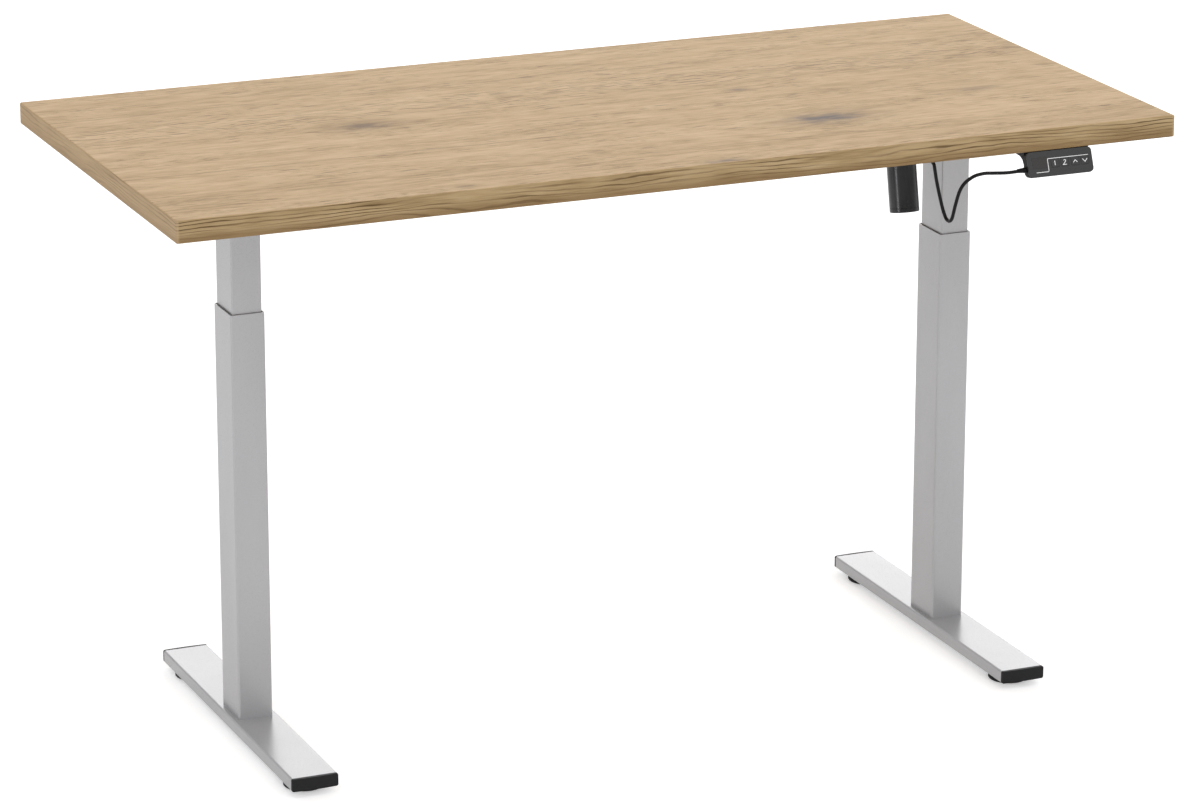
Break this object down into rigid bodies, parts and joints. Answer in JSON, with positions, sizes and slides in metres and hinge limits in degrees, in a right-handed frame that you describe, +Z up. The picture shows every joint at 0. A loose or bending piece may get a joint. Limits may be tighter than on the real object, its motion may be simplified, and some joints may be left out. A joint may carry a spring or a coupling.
{
  "type": "height adjustable standing desk",
  "caption": "Rectangular wooden desktop on a two-leg steel frame with telescopic columns, T feet, a hanging motor and a push-button handset that raises it.",
  "frame": {"origin": "on the floor, in the middle of the desk's outline seen from above", "axes": "+X to the user's right along the desktop's width, +Y to the back, +Z up"},
  "size_m": [1.6, 0.7758, 0.916],
  "materials": {
    "silver_powder_coat": "fine silver-grey powder coat, satin",
    "black_plastic": "moulded, fine texture",
    "black_painted_steel": "semi-gloss black",
    "zinc_plated_steel": "bright zinc plating",
    "bare_steel": "turned and oiled",
    "white_nylon": "natural white nylon",
    "cast_aluminium": "die-cast, as cast",
    "oak_decor": "knotty oak surface on board, matt",
    "dark_grey_plastic": "moulded dark grey, satin",
    "dark_window": "smoked window, gloss",
    "circuit_board": "solder mask",
    "black_rubber": "soft PVC jacket, satin"
  },
  "bodies": {
    "base": {"left_foot": "silver_powder_coat", "right_foot": "silver_powder_coat", "foot_caps": "black_plastic", "left_outer_column": "silver_powder_coat", "right_outer_column": "silver_powder_coat", "base_plates": "silver_powder_coat", "foot_bolts": "zinc_plated_steel", "nut_tubes": "zinc_plated_steel", "drive_nuts": "white_nylon", "guide_collars": "black_plastic", "glide_nuts": "zinc_plated_steel"},
    "desk": {"desktop": "oak_decor", "left_inner_column": "silver_powder_coat", "right_inner_column": "silver_powder_coat", "slide_pads": "white_nylon", "left_head_case": "cast_aluminium", "right_head_case": "cast_aluminium", "head_covers": "cast_aluminium", "spindle_bearings": "bare_steel", "left_rails": "silver_powder_coat", "right_rails": "silver_powder_coat", "rail_inserts": "zinc_plated_steel", "side_arms": "silver_powder_coat", "frame_bolts": "zinc_plated_steel", "wood_screws": "zinc_plated_steel", "motor_gearbox_case": "black_plastic", "motor_gearbox_cover": "black_plastic", "motor_bracket": "silver_powder_coat", "motor_can": "black_painted_steel", "motor_end_cap": "black_plastic", "control_box": "dark_grey_plastic", "control_box_lid": "dark_grey_plastic", "box_sockets": "black_plastic", "control_board": "circuit_board", "handset_body": "dark_grey_plastic", "handset_face": "dark_grey_plastic", "handset_display": "dark_window", "handset_board": "circuit_board", "handset_cord": "black_rubber", "cord_strain_relief": "black_rubber", "cord_plug": "black_plastic", "cord_clips": "black_plastic"},
    "left_spindle": {"left_spindle": "bare_steel", "left_spindle_gear": "bare_steel"},
    "right_spindle": {"right_spindle": "bare_steel", "right_spindle_gear": "bare_steel"},
    "drive_shaft": {"hex_shaft": "bare_steel", "shaft_gears": "bare_steel", "shaft_bushes": "black_plastic", "worm_wheel": "white_nylon"},
    "motor_rotor": {"motor_rotor": "bare_steel"},
    "key_memory_1": {"key_memory_1": "dark_grey_plastic"},
    "key_memory_2": {"key_memory_2": "dark_grey_plastic"},
    "key_up": {"key_up": "dark_grey_plastic"},
    "key_down": {"key_down": "dark_grey_plastic"},
    "front_left_glide": {"front_left_glide": "black_plastic"},
    "rear_left_glide": {"rear_left_glide": "black_plastic"},
    "front_right_glide": {"front_right_glide": "black_plastic"},
    "rear_right_glide": {"rear_right_glide": "black_plastic"}
  },
  "joints": [
    {"name": "lift", "type": "slide", "parent": "base", "child": "desk", "axis": [0, 0, 1], "range_m": [-0.16, 0.3]},
    {"name": "left_spindle_turn", "type": "hinge", "parent": "desk", "child": "left_spindle", "pos_m": [-0.59, -0.011, 0.5], "axis": [0, 0, 1], "continuous": true},
    {"name": "right_spindle_turn", "type": "hinge", "parent": "desk", "child": "right_spindle", "pos_m": [0.59, -0.011, 0.5], "axis": [0, 0, 1], "continuous": true},
    {"name": "drive_shaft_turn", "type": "hinge", "parent": "desk", "child": "drive_shaft", "pos_m": [0, -0.011, 0.856], "axis": [1, 0, 0], "continuous": true},
    {"name": "motor_turn", "type": "hinge", "parent": "desk", "child": "motor_rotor", "pos_m": [0.501, -0.02962, 0.85976], "axis": [0, 0.1977, 0.9803], "continuous": true},
    {"name": "key_memory_1_press", "type": "slide", "parent": "desk", "child": "key_memory_1", "axis": [0, 0.9319, -0.3627], "range_m": [0, 0.0005], "stiffness_N_per_m": 1500},
    {"name": "key_memory_2_press", "type": "slide", "parent": "desk", "child": "key_memory_2", "axis": [0, 0.9319, -0.3627], "range_m": [0, 0.0005], "stiffness_N_per_m": 1500},
    {"name": "key_up_press", "type": "slide", "parent": "desk", "child": "key_up", "axis": [0, 0.9319, -0.3627], "range_m": [0, 0.0005], "stiffness_N_per_m": 1500},
    {"name": "key_down_press", "type": "slide", "parent": "desk", "child": "key_down", "axis": [0, 0.9319, -0.3627], "range_m": [0, 0.0005], "stiffness_N_per_m": 1500},
    {"name": "front_left_glide_height", "type": "slide", "parent": "base", "child": "front_left_glide", "axis": [0, 0, -1], "range_m": [0, 0.01]},
    {"name": "rear_left_glide_height", "type": "slide", "parent": "base", "child": "rear_left_glide", "axis": [0, 0, -1], "range_m": [0, 0.01]},
    {"name": "front_right_glide_height", "type": "slide", "parent": "base", "child": "front_right_glide", "axis": [0, 0, -1], "range_m": [0, 0.01]},
    {"name": "rear_right_glide_height", "type": "slide", "parent": "base", "child": "rear_right_glide", "axis": [0, 0, -1], "range_m": [0, 0.01]}
  ],
  "couplings": [
    {"joint": "left_spindle_turn", "follows": "lift", "rad_per_m": 785.4},
    {"joint": "right_spindle_turn", "follows": "lift", "rad_per_m": 785.4},
    {"joint": "drive_shaft_turn", "follows": "lift", "rad_per_m": -785.4},
    {"joint": "motor_turn", "follows": "lift", "rad_per_m": -10996}
  ]
}
